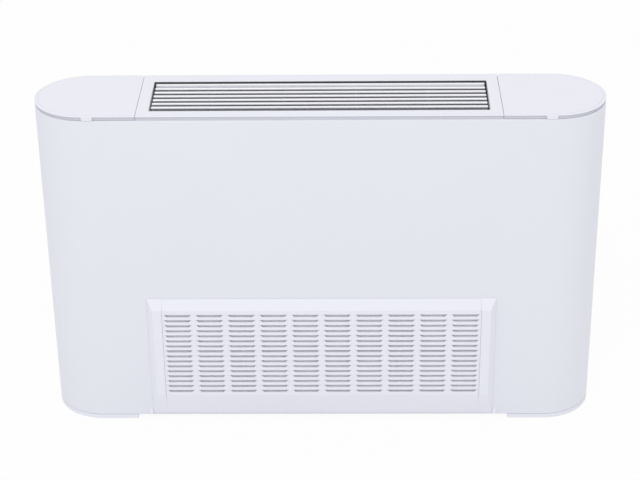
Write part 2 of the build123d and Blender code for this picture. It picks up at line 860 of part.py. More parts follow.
# Fan wheels: forward-curved blades between a centre disc and two end rings
with BuildPart() as impeller:
    with BuildSketch(Plane.YZ):
        with Locations((fan_back, fan_middle)):
            Circle(wheel_radius - wheel_ring / 3)
    extrude(amount=wheel_disc / 2, both=True)
    with BuildSketch(Plane.YZ):
        with Locations((fan_back, fan_middle)):
            Circle(hub_radius)
    extrude(amount=hub_length / 2, both=True)
    blade_middle = (wheel_radius + wheel_inner_radius) / 2
    blade_tip = wheel_radius - fan_blade_inset
    blade_reach = (wheel_radius - wheel_inner_radius) / 2
    with BuildSketch(Plane.YZ):
        with Locations((fan_back, fan_middle)):
            with PolarLocations(0, blades_per_wheel):
                Polygon(
                    (wheel_inner_radius, 0),
                    (blade_middle, fan_blade_curve),
                    (blade_tip, blade_reach),
                    (blade_tip - fan_blade_thickness / 2, blade_reach + fan_blade_thickness),
                    (blade_middle - fan_blade_thickness / 2, fan_blade_curve + fan_blade_thickness),
                    (wheel_inner_radius, fan_blade_thickness),
                    align=None,
                )
    extrude(amount=wheel_width / 2, both=True)
    for side in (-1, 1):
        with BuildSketch(Plane.YZ.offset(side * wheel_width / 2)):
            with Locations((fan_back, fan_middle)):
                Circle(wheel_radius)
                Circle(wheel_radius - wheel_ring, mode=Mode.SUBTRACT)
        extrude(amount=-side * wheel_ring_width)
    with BuildSketch(Plane.YZ):
        with Locations((fan_back, fan_middle)):
            Circle(shaft_radius)
    extrude(amount=hub_length, both=True, mode=Mode.SUBTRACT)
impeller_left = Pos(-fan_place, 0, 0) * impeller.part
keep_pair(impeller_left, "impeller")

# Shaft, through the motor to both wheels
with BuildPart() as fan_shaft:
    with BuildSketch(Plane.YZ):
        with Locations((fan_back, fan_middle)):
            Circle(shaft_radius)
    extrude(amount=shaft_length / 2, both=True)
    chamfer(fan_shaft.edges().filter_by(GeomType.CIRCLE), shaft_chamfer)
keep(fan_shaft.part, "fan_shaft")

# Motor: a turned can with a boss at each end
with BuildPart() as motor:
    with BuildSketch(Plane.XZ.offset(-fan_back)):
        with BuildLine():
            half_can = motor_length / 2
            half_all = half_can + motor_boss_length
            boss_z = fan_middle + motor_boss_radius
            can_z = fan_middle + motor_radius
            bore_z = fan_middle + shaft_radius + running_gap
            Polyline(
                (-half_all, bore_z),
                (-half_all, boss_z),
                (-half_can, boss_z),
                (-half_can + motor_shoulder[0] / 4, can_z - motor_shoulder[1]),
                (-half_can + motor_shoulder[0], can_z),
                (half_can - motor_shoulder[0], can_z),
                (half_can - motor_shoulder[0] / 4, can_z - motor_shoulder[1]),
                (half_can, boss_z),
                (half_all, boss_z),
                (half_all, bore_z),
                close=True,
            )
        make_face()
    revolve(axis=Axis((0, fan_back, fan_middle), (1, 0, 0)))
keep(motor.part, "motor")

# Rubber rings between the motor's bosses and its cradle
with BuildPart() as mount_rings:
    for side in (-1, 1):
        with BuildSketch(Plane.YZ.offset(side * (motor_length / 2 + mount_ring_gap))):
            with Locations((fan_back, fan_middle)):
                Circle(mount_ring_radius)
                Circle(motor_boss_radius, mode=Mode.SUBTRACT)
        extrude(amount=side * mount_ring_length)
keep(mount_rings.part, "motor_mount_rings")

# Motor cradle: two hangers under the deck that grip the rubber rings
cradle_x = motor_length / 2 + mount_ring_gap + (mount_ring_length - cradle_sheet) / 2
with BuildPart() as motor_cradle:
    for side in (-1, 1):
        with BuildSketch(Plane.YZ.offset(side * cradle_x)):
            with Locations((fan_back, fan_middle)):
                Circle(mount_ring_radius + cradle_rim)
            with Locations((fan_back, (fan_middle + deck_height) / 2)):
                Rectangle(cradle_width / 2, deck_height - fan_middle)
            with Locations((fan_back, fan_middle)):
                Circle(mount_ring_radius, mode=Mode.SUBTRACT)
        extrude(amount=side * cradle_sheet)
    with BuildSketch(Plane.XY.offset(deck_height)):
        with Locations((0, fan_back)):
            Rectangle(2 * (cradle_x + cradle_sheet), cradle_width / 2)
    extrude(amount=-cradle_sheet)
keep(motor_cradle.part, "motor_cradle")

# Coil: the fin pack stands on a slant between two tube plates
coil_length = 2 * (chassis_half - coil_end_room)
slab_up = Vector(0, sin(tilt), cos(tilt))
slab_out = Vector(0, cos(tilt), -sin(tilt))
coil_centre = Vector(0, coil_back, coil_height)


def coil_plane(x, along=0, out=0):
    """A plane facing +X whose axes run through the slab and along it."""
    origin = coil_centre + slab_up * along + slab_out * out + Vector(x, 0, 0)
    return Plane(origin, x_dir=slab_out, z_dir=(1, 0, 0))


with BuildPart() as coil_fins:
    with BuildSketch(coil_plane(-coil_length / 2)):
        Rectangle(coil_thickness, coil_slab)
    extrude(amount=coil_length)
keep(coil_fins.part, "coil_fins")

with BuildPart() as coil_tube_plate:
    with BuildSketch(coil_plane(-coil_length / 2)):
        Rectangle(coil_thickness + 2 * coil_plate_lip, coil_slab + 2 * coil_plate_lip)
    extrude(amount=-coil_plate)
    with BuildSketch(coil_plane(-coil_length / 2)):
        with Locations((coil_thickness / 2 + coil_plate_lip - coil_plate / 2, 0)):
            Rectangle(coil_plate, coil_slab + 2 * coil_plate_lip)
    extrude(amount=-coil_plate_flange)
keep_pair(coil_tube_plate.part, "coil_plate")

# Return bends of the hairpin tubes on the right, and the crossovers between rows on the left
bend_face_x = coil_length / 2 + coil_plate
with BuildPart() as coil_bends:
    for row in (-row_offset, row_offset):
        for number in range(tube_rows // 2):
            low = (2 * number - tube_rows / 2 + 0.5) * tube_pitch
            with BuildSketch(coil_plane(bend_face_x, low, row)):
                Circle(tube_radius)
            turn_axis = Axis(
                tuple(coil_centre + slab_up * (low + tube_pitch / 2) + Vector(bend_face_x, 0, 0)),
                tuple(slab_out),
            )
            revolve(axis=turn_axis, revolution_arc=-180)
    for number in range(tube_rows // 2):
        low = (2 * number - tube_rows / 2 + 0.5) * tube_pitch
        with BuildSketch(coil_plane(-bend_face_x, low, row_offset)):
            Circle(tube_radius)
        across = slab_up * tube_pitch - slab_out * 2 * row_offset
        turn_axis = Axis(
            tuple(coil_centre + slab_up * (low + tube_pitch / 2) - Vector(bend_face_x, 0, 0)),
            tuple(Vector(1, 0, 0).cross(across)),
        )
        revolve(axis=turn_axis, revolution_arc=-180)
keep(coil_bends.part, "coil_bends")


def water_header(row, end, socket_along, socket_end):
    """A header pipe along the slab with its feeder tubes and a stub towards the wall."""
    middle = coil_centre + slab_out * row + slab_up * end * header_shift - Vector(pipe_x, 0, 0)
    stub = coil_centre + slab_out * row + slab_up * socket_along - Vector(pipe_x, 0, 0)
    with BuildPart() as header:
        with BuildSketch(Plane(middle, z_dir=slab_up)):
            Circle(header_radius)
        extrude(amount=header_length / 2, both=True)
        for number in range(tube_rows // 2):
            along = (2 * number - tube_rows / 2 + (0.5 if end < 0 else 1.5)) * tube_pitch
            with BuildSketch(coil_plane(-pipe_x, along, row)):
                Circle(tube_radius)
            extrude(amount=pipe_x - coil_length / 2 - coil_plate)
        with BuildSketch(Plane(stub, x_dir=(1, 0, 0), z_dir=(0, 1, 0))):
            Circle(header_radius)
        extrude(amount=socket_end - socket_length - stub.Y)
    return header.part


def water_socket(row, socket_along, socket_end):
    """A brass hexagon socket with a threaded bore, facing the wall."""
    height = (coil_centre + slab_out * row + slab_up * socket_along).Z
    with BuildPart() as socket:
        with BuildSketch(Plane((-pipe_x, socket_end, height), x_dir=(1, 0, 0), z_dir=(0, 1, 0))):
            RegularPolygon(socket_across / 2, 6, major_radius=False)
        extrude(amount=-socket_length)
        with BuildSketch(Plane((-pipe_x, socket_end, height), x_dir=(1, 0, 0), z_dir=(0, 1, 0))):
            Circle(socket_bore)
        extrude(amount=-socket_depth, mode=Mode.SUBTRACT)
    return socket.part


# Water headers and their sockets, in the left end compartment
header_supply = water_header(-row_offset, -1, supply_socket_along, supply_socket_end)
keep(header_supply, "header_supply")
header_return = water_header(row_offset, 1, return_socket_along, return_socket_end)
keep(header_return, "header_return")
socket_supply = water_socket(-row_offset, supply_socket_along, supply_socket_end)
keep(socket_supply, "socket_supply")
socket_return = water_socket(row_offset, return_socket_along, return_socket_end)
keep(socket_return, "socket_return")

# Air vent on top of the return header, with its bleed screw
vent_along = header_shift + header_length / 2
vent_base = coil_centre + slab_up * vent_along + slab_out * row_offset - Vector(pipe_x, 0, 0)
with BuildPart() as air_vent:
    with BuildSketch(Plane(vent_base, z_dir=slab_up)):
        RegularPolygon(vent_radius, 6, major_radius=False)
    extrude(amount=vent_length)
    with BuildSketch(Plane(vent_base + slab_up * vent_length, z_dir=slab_up)):
        Circle(vent_screw_radius + running_gap)
    extrude(amount=-vent_length / 2, mode=Mode.SUBTRACT)
keep(air_vent.part, "air_vent")

with BuildPart() as bleed_screw:
    with BuildSketch(Plane(vent_base + slab_up * (vent_length / 2 + vent_screw_gap), z_dir=slab_up)):
        Circle(vent_screw_radius)
    extrude(amount=vent_length / 2)
    with BuildSketch(Plane(vent_base + slab_up * (vent_length + vent_screw_gap), z_dir=slab_up)):
        Circle(vent_head_radius)
    extrude(amount=vent_head_height)
    head_top = vent_length + vent_screw_gap + vent_head_height
    with BuildSketch(Plane(vent_base + slab_up * head_top, z_dir=slab_up)):
        Rectangle(2 * vent_head_radius, vent_slot)
    extrude(amount=-vent_slot, mode=Mode.SUBTRACT)
keep(bleed_screw.part, "bleed_screw")

# Drain pan: a folded trough under the coil's low edge, with a spigot to the left
pan_low_y = front_y + sheet + pan_front_gap
pan_half = inner_half - pan_end_gap
with BuildPart() as drain_pan:
    with BuildSketch(Plane.YZ.offset(-pan_half)):
        with BuildLine():
            Polyline(
                (pan_low_y, pan_height),
                (pan_low_y + pan_width - pan_slope, pan_height),
                (pan_low_y + pan_width, pan_height + pan_depth),
                (pan_low_y, pan_height + pan_depth),
                close=True,
            )
        make_face()
    extrude(amount=2 * pan_half)
    fillet(drain_pan.edges().filter_by(Axis.X).group_by(Axis.Z)[0], pan_round)
    top_face = drain_pan.faces().sort_by(Axis.Z)[-1]
    offset(amount=-pan_wall, openings=top_face)
    with BuildSketch(Plane.YZ.offset(-pan_half + pan_wall)):
        with Locations((spigot_y, spigot_z)):
            Circle(spigot_radius)
    extrude(amount=-spigot_length - pan_wall)
    with BuildSketch(Plane.YZ.offset(-pan_half + 2 * pan_wall)):
        with Locations((spigot_y, spigot_z)):
            Circle(spigot_bore)
    extrude(amount=-spigot_length - 4 * pan_wall, mode=Mode.SUBTRACT)
keep(drain_pan.part, "drain_pan")

# Drip tray below the sockets, hung on the left side plate, with the drain spigot at its back
tray_x = -chassis_half - chassis_tab - tray_length / 2
tray_rear_y = middle_y + tray_depth / 2
tray_spigot_z = tray_height + tray_wall_height / 2
tray_spigot_plane = Plane((-pipe_x, tray_rear_y - pan_wall, tray_spigot_z), x_dir=(1, 0, 0), z_dir=(0, 1, 0))
with BuildPart() as drip_tray:
    with BuildSketch(Plane.XY.offset(tray_height)):
        with Locations((tray_x, middle_y)):
            RectangleRounded(tray_length, tray_depth, tray_round)
    extrude(amount=tray_wall_height, taper=-4)
    with BuildSketch(tray_spigot_plane):
        Circle(tray_shoulder_radius)
    extrude(amount=tray_shoulder + pan_wall)
    with BuildSketch(tray_spigot_plane):
        Circle(spigot_radius)
    extrude(amount=tray_spigot_length + pan_wall)
    with BuildSketch(Plane.XY.offset(tray_height + pan_wall)):
        with Locations((tray_x, middle_y)):
            RectangleRounded(tray_length - 2 * pan_wall, tray_depth - 2 * pan_wall, tray_round - pan_wall)
    extrude(amount=tray_wall_height, taper=-4, mode=Mode.SUBTRACT)
    with BuildSketch(tray_spigot_plane):
        Circle(spigot_bore)
    extrude(amount=tray_spigot_length + pan_wall, mode=Mode.SUBTRACT)
    with BuildSketch(Plane.YZ.offset(-chassis_half)):
        with Locations((middle_y, tray_height + tray_wall_height - tray_hanger / 2)):
            Rectangle(tray_depth / 2, tray_hanger)
    extrude(amount=-chassis_tab - pan_wall)
keep(drip_tray.part, "drip_tray")

# Electrical box on the right side plate, with its cover
box_x = chassis_half
box_plane = Plane.YZ.offset(box_x)
box_middle = (coil_back + box_shift, box_base + box_height / 2)
box_rear_y = box_middle[0] + box_width / 2
gland_plane = Plane(
    (box_x + gland_side, box_rear_y, box_base + gland_place), x_dir=(1, 0, 0), z_dir=(0, 1, 0)
)
with BuildPart() as electrical_box:
    with BuildSketch(box_plane):
        with Locations(box_middle):
            Rectangle(box_width, box_height)
    extrude(amount=box_depth)
    with BuildSketch(Plane.YZ.offset(box_x + sheet)):
        with Locations(box_middle):
            Rectangle(box_width - 2 * sheet, box_height - 2 * sheet)
    extrude(amount=box_depth, mode=Mode.SUBTRACT)
    with BuildSketch(gland_plane):
        Circle(gland_thread)
    extrude(amount=-sheet, mode=Mode.SUBTRACT)
keep(electrical_box.part, "electrical_box")

with BuildPart() as electrical_cover:
    with BuildSketch(Plane.YZ.offset(box_x + box_depth)):
        with Locations(box_middle):
            Rectangle(box_width + 2 * sheet, box_height + 2 * sheet)
    extrude(amount=sheet)
    for side in (-1, 1):
        with BuildSketch(Plane.YZ.offset(box_x + box_depth)):
            with Locations((box_middle[0] + side * (box_width + sheet) / 2, box_middle[1])):
                Rectangle(sheet, box_height + 2 * sheet)
        extrude(amount=-back_flange)
keep(electrical_cover.part, "electrical_cover")

# Terminal block with its two rows of screw wells, and the fan's capacitor
terminal_middle = (box_middle[0], box_base + terminal_place)
with BuildPart() as terminal_block:
    with BuildSketch(Plane.YZ.offset(box_x + sheet)):
        with Locations(terminal_middle):
            Rectangle(terminal_pitch * terminal_count, terminal_width)
    extrude(amount=terminal_depth)
    with BuildSketch(Plane.YZ.offset(box_x + sheet + terminal_depth)):
        with Locations(terminal_middle):
            with GridLocations(terminal_pitch, terminal_row_pitch, terminal_count, 2):
                Rectangle(terminal_pitch - terminal_wall, terminal_well)
    extrude(amount=-terminal_well, mode=Mode.SUBTRACT)
keep(terminal_block.part, "terminal_block")

with BuildPart() as capacitor:
    with BuildSketch(Plane.XY.offset(box_base + capacitor_place)):
        with Locations((box_x + sheet + capacitor_radius, box_middle[0])):
            Circle(capacitor_radius)
    extrude(amount=capacitor_length)
    chamfer(capacitor.edges().filter_by(GeomType.CIRCLE), capacitor_radius / 10)
keep(capacitor.part, "capacitor")

# Cable gland in the rear wall of the electrical box
with BuildPart() as cable_gland:
    with BuildSketch(gland_plane):
        RegularPolygon(gland_radius, 6, major_radius=False)
    extrude(amount=gland_length / 3)
    with BuildSketch(gland_plane.offset(gland_length / 3)):
        Circle(gland_radius)
    extrude(amount=gland_length / 3, taper=12)
    with BuildSketch(gland_plane):
        Circle(gland_thread)
    extrude(amount=-gland_length / 3)
    with BuildSketch(gland_plane.offset(-gland_length / 3)):
        Circle(gland_bore)
    extrude(amount=gland_length, mode=Mode.SUBTRACT)
keep(cable_gland.part, "cable_gland")

# Control panel under the right lid, closing the end frame's collar
panel_top = frame_top - frame_collar
panel_x = -frame_middle_x
knob_points = [(panel_x + place, frame_middle_y) for place in knob_places]
with BuildPart() as control_panel:
    with BuildSketch(Plane.XY.offset(panel_top)):
        with Locations((panel_x, frame_middle_y)):
            RectangleRounded(*collar_size, frame_opening_round + frame_wall)
        with Locations(*knob_points):
            Circle(knob_stub_radius + running_gap, mode=Mode.SUBTRACT)
    extrude(amount=-panel_sheet)
keep(control_panel.part, "control_panel")

# Thermostat and speed switch bodies below the panel
for name, point in zip(("thermostat_body", "speed_switch_body"), knob_points):
    with BuildPart() as switch_body:
        with BuildSketch(Plane.XY.offset(panel_top - panel_sheet)):
            with Locations(point):
                RectangleRounded(switch_size[0], switch_size[1], switch_round)
        extrude(amount=-switch_size[2])
        with BuildSketch(Plane.XY.offset(panel_top - panel_sheet)):
            with Locations(point):
                Circle(knob_stub_radius + running_gap)
        extrude(amount=-switch_size[2] / 2, mode=Mode.SUBTRACT)
    keep(switch_body.part, name)

# Knobs: a flared skirt, a gripping bar and a round stub through the panel
for name, point in zip(("thermostat_knob", "speed_knob"), knob_points):
    with BuildPart() as knob:
        with BuildSketch(Plane.XY.offset(panel_top + knob_lift)):
            with Locations(point):
                Circle(knob_radius)
        extrude(amount=knob_height / 3, taper=10)
        with BuildSketch(Plane.XY.offset(panel_top + knob_lift)):
            with Locations(point):
                SlotOverall(2 * knob_radius - knob_grip / 2, knob_grip, rotation=90)
        extrude(amount=knob_height, taper=3)
        with BuildSketch(Plane.XY.offset(panel_top + knob_lift)):
            with Locations(point):
                Circle(knob_stub_radius)
        extrude(amount=-knob_lift - panel_sheet - switch_size[2] / 3)
    keep(knob.part, name)

# Screws that hold the casing to the side plates' tabs, above and below
with BuildPart() as casing_screws:
    for side in (-1, 1):
        for height, out in ((flange_top, 1), (casing_bottom, -1)):
            with BuildSketch(Plane.XY.offset(height)):
                with Locations((side * screw_x, screw_y)):
                    Circle(screw_head_radius)
            extrude(amount=out * screw_head_height)
            with BuildSketch(Plane.XY.offset(height)):
                with Locations((side * screw_x, screw_y)):
                    Circle(screw_radius)
            extrude(amount=-out * screw_length)
keep(casing_screws.part, "casing_screws")
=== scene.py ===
import math

import bmesh
import bpy
from mathutils import Matrix, Vector


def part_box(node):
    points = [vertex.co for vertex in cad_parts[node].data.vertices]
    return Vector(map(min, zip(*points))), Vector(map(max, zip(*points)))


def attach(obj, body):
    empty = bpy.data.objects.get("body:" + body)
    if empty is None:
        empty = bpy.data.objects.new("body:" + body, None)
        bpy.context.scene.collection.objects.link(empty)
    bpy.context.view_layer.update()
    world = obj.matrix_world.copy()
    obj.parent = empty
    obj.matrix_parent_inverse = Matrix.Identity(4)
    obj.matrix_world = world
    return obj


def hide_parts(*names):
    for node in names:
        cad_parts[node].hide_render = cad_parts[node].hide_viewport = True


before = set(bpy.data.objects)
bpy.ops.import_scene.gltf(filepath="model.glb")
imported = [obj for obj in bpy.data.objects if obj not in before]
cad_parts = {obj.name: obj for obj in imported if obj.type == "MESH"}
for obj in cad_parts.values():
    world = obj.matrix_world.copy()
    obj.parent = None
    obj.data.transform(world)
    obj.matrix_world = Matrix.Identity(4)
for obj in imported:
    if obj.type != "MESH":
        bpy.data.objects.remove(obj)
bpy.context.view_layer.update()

# Chassis: back plate, side plates, bottom plate, fan deck, cradle, tube plates and boxes.
# They are folded from zinc-coated steel sheet, whose spangle shows as flat grey crystals.


class Shade:
    """One value in a material. Arithmetic on it adds Math nodes, and node() adds any other."""

    def __init__(self, tree, socket):
        self.tree = tree
        self.socket = socket

    def node(self, kind, settings=None, inputs=None, output=0):
        """Another node of this material, its settings made first and its sockets filled or linked."""
        added = self.tree.nodes.new("ShaderNode" + kind)
        for setting, value in (settings or {}).items():
            setattr(added, setting, value)
        for name, value in (inputs or {}).items():
            if isinstance(value, Shade):
                self.tree.links.new(value.socket, added.inputs[name])
            else:
                added.inputs[name].default_value = value
        return Shade(self.tree, added.outputs[output])

    def maths(self, operation, first, second):
        """A Math node on two values or numbers."""
        return self.node("Math", {"operation": operation}, {0: first, 1: second})

    def __add__(self, other):
        return self.maths("ADD", self, other)

    __radd__ = __add__

    def __mul__(self, other):
        return self.maths("MULTIPLY", self, other)

    __rmul__ = __mul__

    def __rsub__(self, other):
        return self.maths("SUBTRACT", other, self)

    def __gt__(self, other):
        return self.maths("GREATER_THAN", self, other)

    def either(self, other):
        """The larger of two values, which is 1 where one of two masks is."""
        return self.maths("MAXIMUM", self, other)

    def along(self, axis):
        """One coordinate of this vector: 0 is the width, 1 the depth and 2 the height."""
        return self.node("SeparateXYZ", None, {0: self}, axis)

    def stretched(self, x, y, z):
        """This vector with each axis scaled, for grain that runs one way."""
        return self.node("VectorMath", {"operation": "MULTIPLY"}, {0: self, 1: (x, y, z)})

    def noise(self, per_metre, detail=2.0):
        """Cloudy variation, from 0 to 1 about 0.5, with this many patches to the metre."""
        return self.node("TexNoise", None, {"Vector": self, "Scale": per_metre, "Detail": detail})

    def cells(self, per_metre, output="Distance"):
        """Close-packed cells: the way to each one's middle, or one random colour each."""
        return self.node("TexVoronoi", None, {"Vector": self, "Scale": per_metre}, output)

    def blend(self, low, high):
        """A colour between two, by this value."""
        return self.node("Mix", {"data_type": "RGBA"}, {0: self, 6: low, 7: high}, 2)


class Finish:
    """A material with one shader; plain values are set on it and varying ones are linked to it."""

    def __init__(self, name, **plain):
        self.material = bpy.data.materials.new(name)
        self.material.use_nodes = True
        tree = self.material.node_tree
        self.shader = tree.nodes["Principled BSDF"]
        self.place = Shade(tree, tree.nodes.new("ShaderNodeTexCoord").outputs["Object"])
        self.set(**plain)

    def set(self, **values):
        """Sockets by name, with underscores for spaces."""
        for name, value in values.items():
            socket = self.shader.inputs[name.replace("_", " ")]
            if isinstance(value, Shade):
                socket.id_data.links.new(value.socket, socket)
            else:
                socket.default_value = value

    def bump(self, height, depth):
        """Relief of this depth in metres."""
        return height.node("Bump", None, {"Height": height, "Distance": depth})

    def on(self, *names):
        """Give this finish to CAD nodes."""
        for name in names:
            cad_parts[name].material_slots[0].material = self.material


def pair(name):
    """The names of a left-hand and a right-hand node."""
    return name + "_left", name + "_right"


zinc = Finish("galvanised_sheet", Metallic=0.85)
crystal = zinc.place.node("SeparateColor", None, {0: zinc.place.cells(110, "Color")})
grain = zinc.place.noise(14, 4)
scratch = zinc.place.stretched(1, 1, 0.04).noise(900)
zinc.set(
    Base_Color=(crystal * 0.6 + grain * 0.4).blend((0.47, 0.49, 0.51, 1), (0.66, 0.68, 0.70, 1)),
    Roughness=0.3 + 0.18 * crystal + 0.08 * scratch,
    Normal=zinc.bump(crystal * 0.4 + scratch * 0.3, 2e-5),
)
zinc.on(
    "back_plate", "bottom_plate", "fan_deck", "motor_cradle", "drain_pan",
    "electrical_box", "electrical_cover", *pair("side_plate"), *pair("coil_plate"),
)

# Fan housings and wheels, drip tray, switch bodies and terminal block.
# They are moulded in dark glass-filled plastic with a dull, faintly streaked skin.
dark = Finish("dark_moulded_plastic", Specular_IOR_Level=0.4)
streak = dark.place.stretched(1, 0.2, 1).noise(60, 3)
pitting = dark.place.noise(2200)
dark.set(
    Base_Color=streak.blend((0.028, 0.029, 0.031, 1), (0.052, 0.053, 0.056, 1)),
    Roughness=0.42 + 0.18 * streak,
    Normal=dark.bump(pitting, 3e-5),
)
dark.on(
    *pair("scroll"), *pair("impeller"), "drip_tray", "thermostat_body", "speed_switch_body",
    "terminal_block",
)

# Motor: a drawn steel can in black enamel, hung in rubber rings.
# The shaft, hinge pins and screws are bright zinc-plated steel.
enamel = Finish("motor_enamel", Specular_IOR_Level=0.5)
peel = enamel.place.noise(420)
enamel.set(
    Base_Color=enamel.place.noise(25, 4).blend((0.035, 0.037, 0.04, 1), (0.06, 0.062, 0.066, 1)),
    Roughness=0.32 + 0.14 * peel,
    Normal=enamel.bump(peel, 6e-5),
)
enamel.on("motor")
rubber = Finish("black_rubber", Specular_IOR_Level=0.3)
bloom = rubber.place.noise(120, 4)
rubber.set(
    Base_Color=bloom.blend((0.018, 0.018, 0.018, 1), (0.04, 0.04, 0.039, 1)),
    Roughness=0.7 + 0.15 * bloom,
    Normal=rubber.bump(rubber.place.noise(1500), 4e-5),
)
rubber.on("motor_mount_rings", "cable_gland")
plated = Finish("zinc_plated_steel", Metallic=1.0)
turning = plated.place.stretched(1, 0.05, 0.05).noise(2600)
plated.set(
    Base_Color=turning.blend((0.52, 0.53, 0.56, 1), (0.70, 0.71, 0.72, 1)),
    Roughness=0.24 + 0.16 * turning,
    Normal=plated.bump(turning, 1e-5),
)
plated.on("fan_shaft", *pair("lid_pin"))

# Coil: a pack of thin waved aluminium fins, pressed on to the legs of copper hairpin tubes.
# Each fin is its own plate; the pack stands on a slant between the two tube plates.


def block(mesh, low, high, place=Matrix()):
    """A solid block between two corners."""
    size = [b - a for a, b in zip(low, high)]
    middle = [(a + b) / 2 for a, b in zip(low, high)]
    bmesh.ops.create_cube(
        mesh, size=1, matrix=place @ Matrix.Translation(middle) @ Matrix.Diagonal((*size, 1))
    )


def made(mesh, name, body, slot, finish, *stood_for):
    """A piece from its finished mesh, with its finish, riding on a body."""
    data = bpy.data.meshes.new(name)
    mesh.to_mesh(data)
    mesh.free()
    data.materials.append(finish.material)
    piece = bpy.data.objects.new(name, data)
    bpy.context.scene.collection.objects.link(piece)
    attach(piece, body)
    if stood_for:
        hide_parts(*stood_for)
    return piece


fin_metal = Finish("fin_aluminium", Metallic=0.9)
rub = fin_metal.place.noise(40, 5)
fin_metal.set(
    Base_Color=rub.blend((0.60, 0.61, 0.62, 1), (0.76, 0.77, 0.78, 1)),
    Roughness=0.32 + 0.2 * rub,
    Normal=fin_metal.bump(fin_metal.place.stretched(1, 30, 30).noise(20), 4e-5),
)
fin_pitch = 0.0021
fin_thickness = 0.00014
fin_wave = 0.0004
fin_folds = 8
coil_thickness = 0.044
coil_slab = 0.25
coil_slant = math.radians(-25)
coil_low, coil_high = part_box("coil_fins")
coil_middle = (Vector(coil_low) + Vector(coil_high)) / 2
coil_length = coil_high[0] - coil_low[0]
standing = Matrix.Translation(coil_middle) @ Matrix.Rotation(coil_slant, 4, "X")
fin_count = int(coil_length / fin_pitch)
fin_corners = (
    (-fin_thickness / 2, -coil_slab / 2), (fin_thickness / 2, -coil_slab / 2),
    (fin_thickness / 2, coil_slab / 2), (-fin_thickness / 2, coil_slab / 2),
)
fins = bmesh.new()
for number in range(fin_count):
    fin_x = (number - (fin_count - 1) / 2) * fin_pitch
    rings = []
    for fold in range(fin_folds + 1):
        fold_y = (fold / fin_folds - 0.5) * coil_thickness
        fold_x = fin_x + fin_wave * (fold % 2 - 0.5)
        rings.append([
            fins.verts.new(standing @ Vector((fold_x + side, fold_y, end))) for side, end in fin_corners
        ])
    for ring, beyond in zip(rings, rings[1:]):
        for corner in range(4):
            following = (corner + 1) % 4
            fins.faces.new((ring[corner], ring[following], beyond[following], beyond[corner]))
    fins.faces.new(rings[0][::-1])
    fins.faces.new(rings[-1])
made(fins, "fin_pack", "cabinet", "fin_aluminium", fin_metal, "coil_fins")

# Copper: the legs and bends of the hairpin tubes, and the two headers, brazed together.
# Drawn copper dulls unevenly, most near the joints.
copper = Finish("drawn_copper", Metallic=1.0)
tarnish = copper.place.noise(70, 5)
copper.set(
    Base_Color=tarnish.blend((0.40, 0.17, 0.09, 1), (0.80, 0.42, 0.27, 1)),
    Roughness=0.22 + 0.3 * tarnish,
    Normal=copper.bump(copper.place.noise(600), 2e-5),
)
copper.on("coil_bends", "header_supply", "header_return")
tube_radius = 0.0048
tube_pitch = 0.041
legs_in_row = 6
row_offset = 0.011
legs = bmesh.new()
for row_y in (-row_offset, row_offset):
    for number in range(legs_in_row):
        leg_z = (number - (legs_in_row - 1) / 2) * tube_pitch
        lying = Matrix.Translation((0, row_y, leg_z)) @ Matrix.Rotation(math.pi / 2, 4, "Y")
        bmesh.ops.create_cone(
            legs, cap_ends=True, segments=24, radius1=tube_radius, radius2=tube_radius,
            depth=coil_length, matrix=standing @ lying,
        )
for face in legs.faces:
    face.smooth = len(face.verts) == 4
made(legs, "hairpin_tubes", "cabinet", "copper", copper)

# Water sockets, air vent and bleed screw: machined brass with fine turning marks.
# The sockets are brazed to the headers' stubs.
brass = Finish("machined_brass", Metallic=1.0)
tooling = brass.place.stretched(1, 0.1, 0.1).noise(3000)
brass.set(
    Base_Color=tooling.blend((0.55, 0.39, 0.14, 1), (0.78, 0.60, 0.28, 1)),
    Roughness=0.2 + 0.2 * tooling,
    Normal=brass.bump(tooling, 1.5e-5),
)
brass.on("socket_supply", "socket_return", "air_vent", "bleed_screw")

# Terminal screws: slotted zinc-plated heads, one at the foot of each well of the block.
# The capacitor stands above the block in a grey plastic shell.
terminals_low, terminals_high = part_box("terminal_block")
terminals = 8
terminal_pitch = (terminals_high[1] - terminals_low[1]) / terminals
terminal_row = 0.012
well_depth = 0.006
terminal_head = 0.0023
terminal_head_height = 0.0016
terminal_head_taper = 0.94
terminal_slot = 0.0004
half_head = [
    (terminal_head * math.cos(math.radians(angle)), terminal_head * math.sin(math.radians(angle)))
    for angle in range(10, 171, 16)
]
terminal_screws = bmesh.new()
for number in range(terminals):
    for row in (-0.5, 0.5):
        foot = Vector((
            terminals_high[0] - well_depth,
            terminals_low[1] + (number + 0.5) * terminal_pitch,
            (terminals_low[2] + terminals_high[2]) / 2 + row * terminal_row,
        ))
        facing = Matrix.Translation(foot) @ Matrix.Rotation(math.pi / 2, 4, "Y")
        for side in (0, math.pi):
            half = facing @ Matrix.Rotation(side, 4, "Z")
            low_ring, top_ring = (
                [
                    terminal_screws.verts.new(half @ Vector((taper * x, taper * y + gap, height)))
                    for x, y in half_head
                ]
                for taper, gap, height in (
                    (1, terminal_slot / 4, 0),
                    (terminal_head_taper, terminal_slot / 2, terminal_head_height),
                )
            )
            terminal_screws.faces.new(low_ring[::-1])
            terminal_screws.faces.new(top_ring)
            for step in range(len(half_head)):
                following = (step + 1) % len(half_head)
                terminal_screws.faces.new(
                    (low_ring[step], low_ring[following], top_ring[following], top_ring[step])
                )
made(terminal_screws, "terminal_screws", "cabinet", "steel", plated)
shell = Finish("capacitor_shell")
shell.set(
    Base_Color=shell.place.noise(90, 3).blend((0.50, 0.51, 0.52, 1), (0.60, 0.61, 0.62, 1)),
    Roughness=0.45 + 0.1 * shell.place.noise(300),
    Normal=shell.bump(shell.place.noise(1500), 2e-5),
)
shell.on("capacitor")

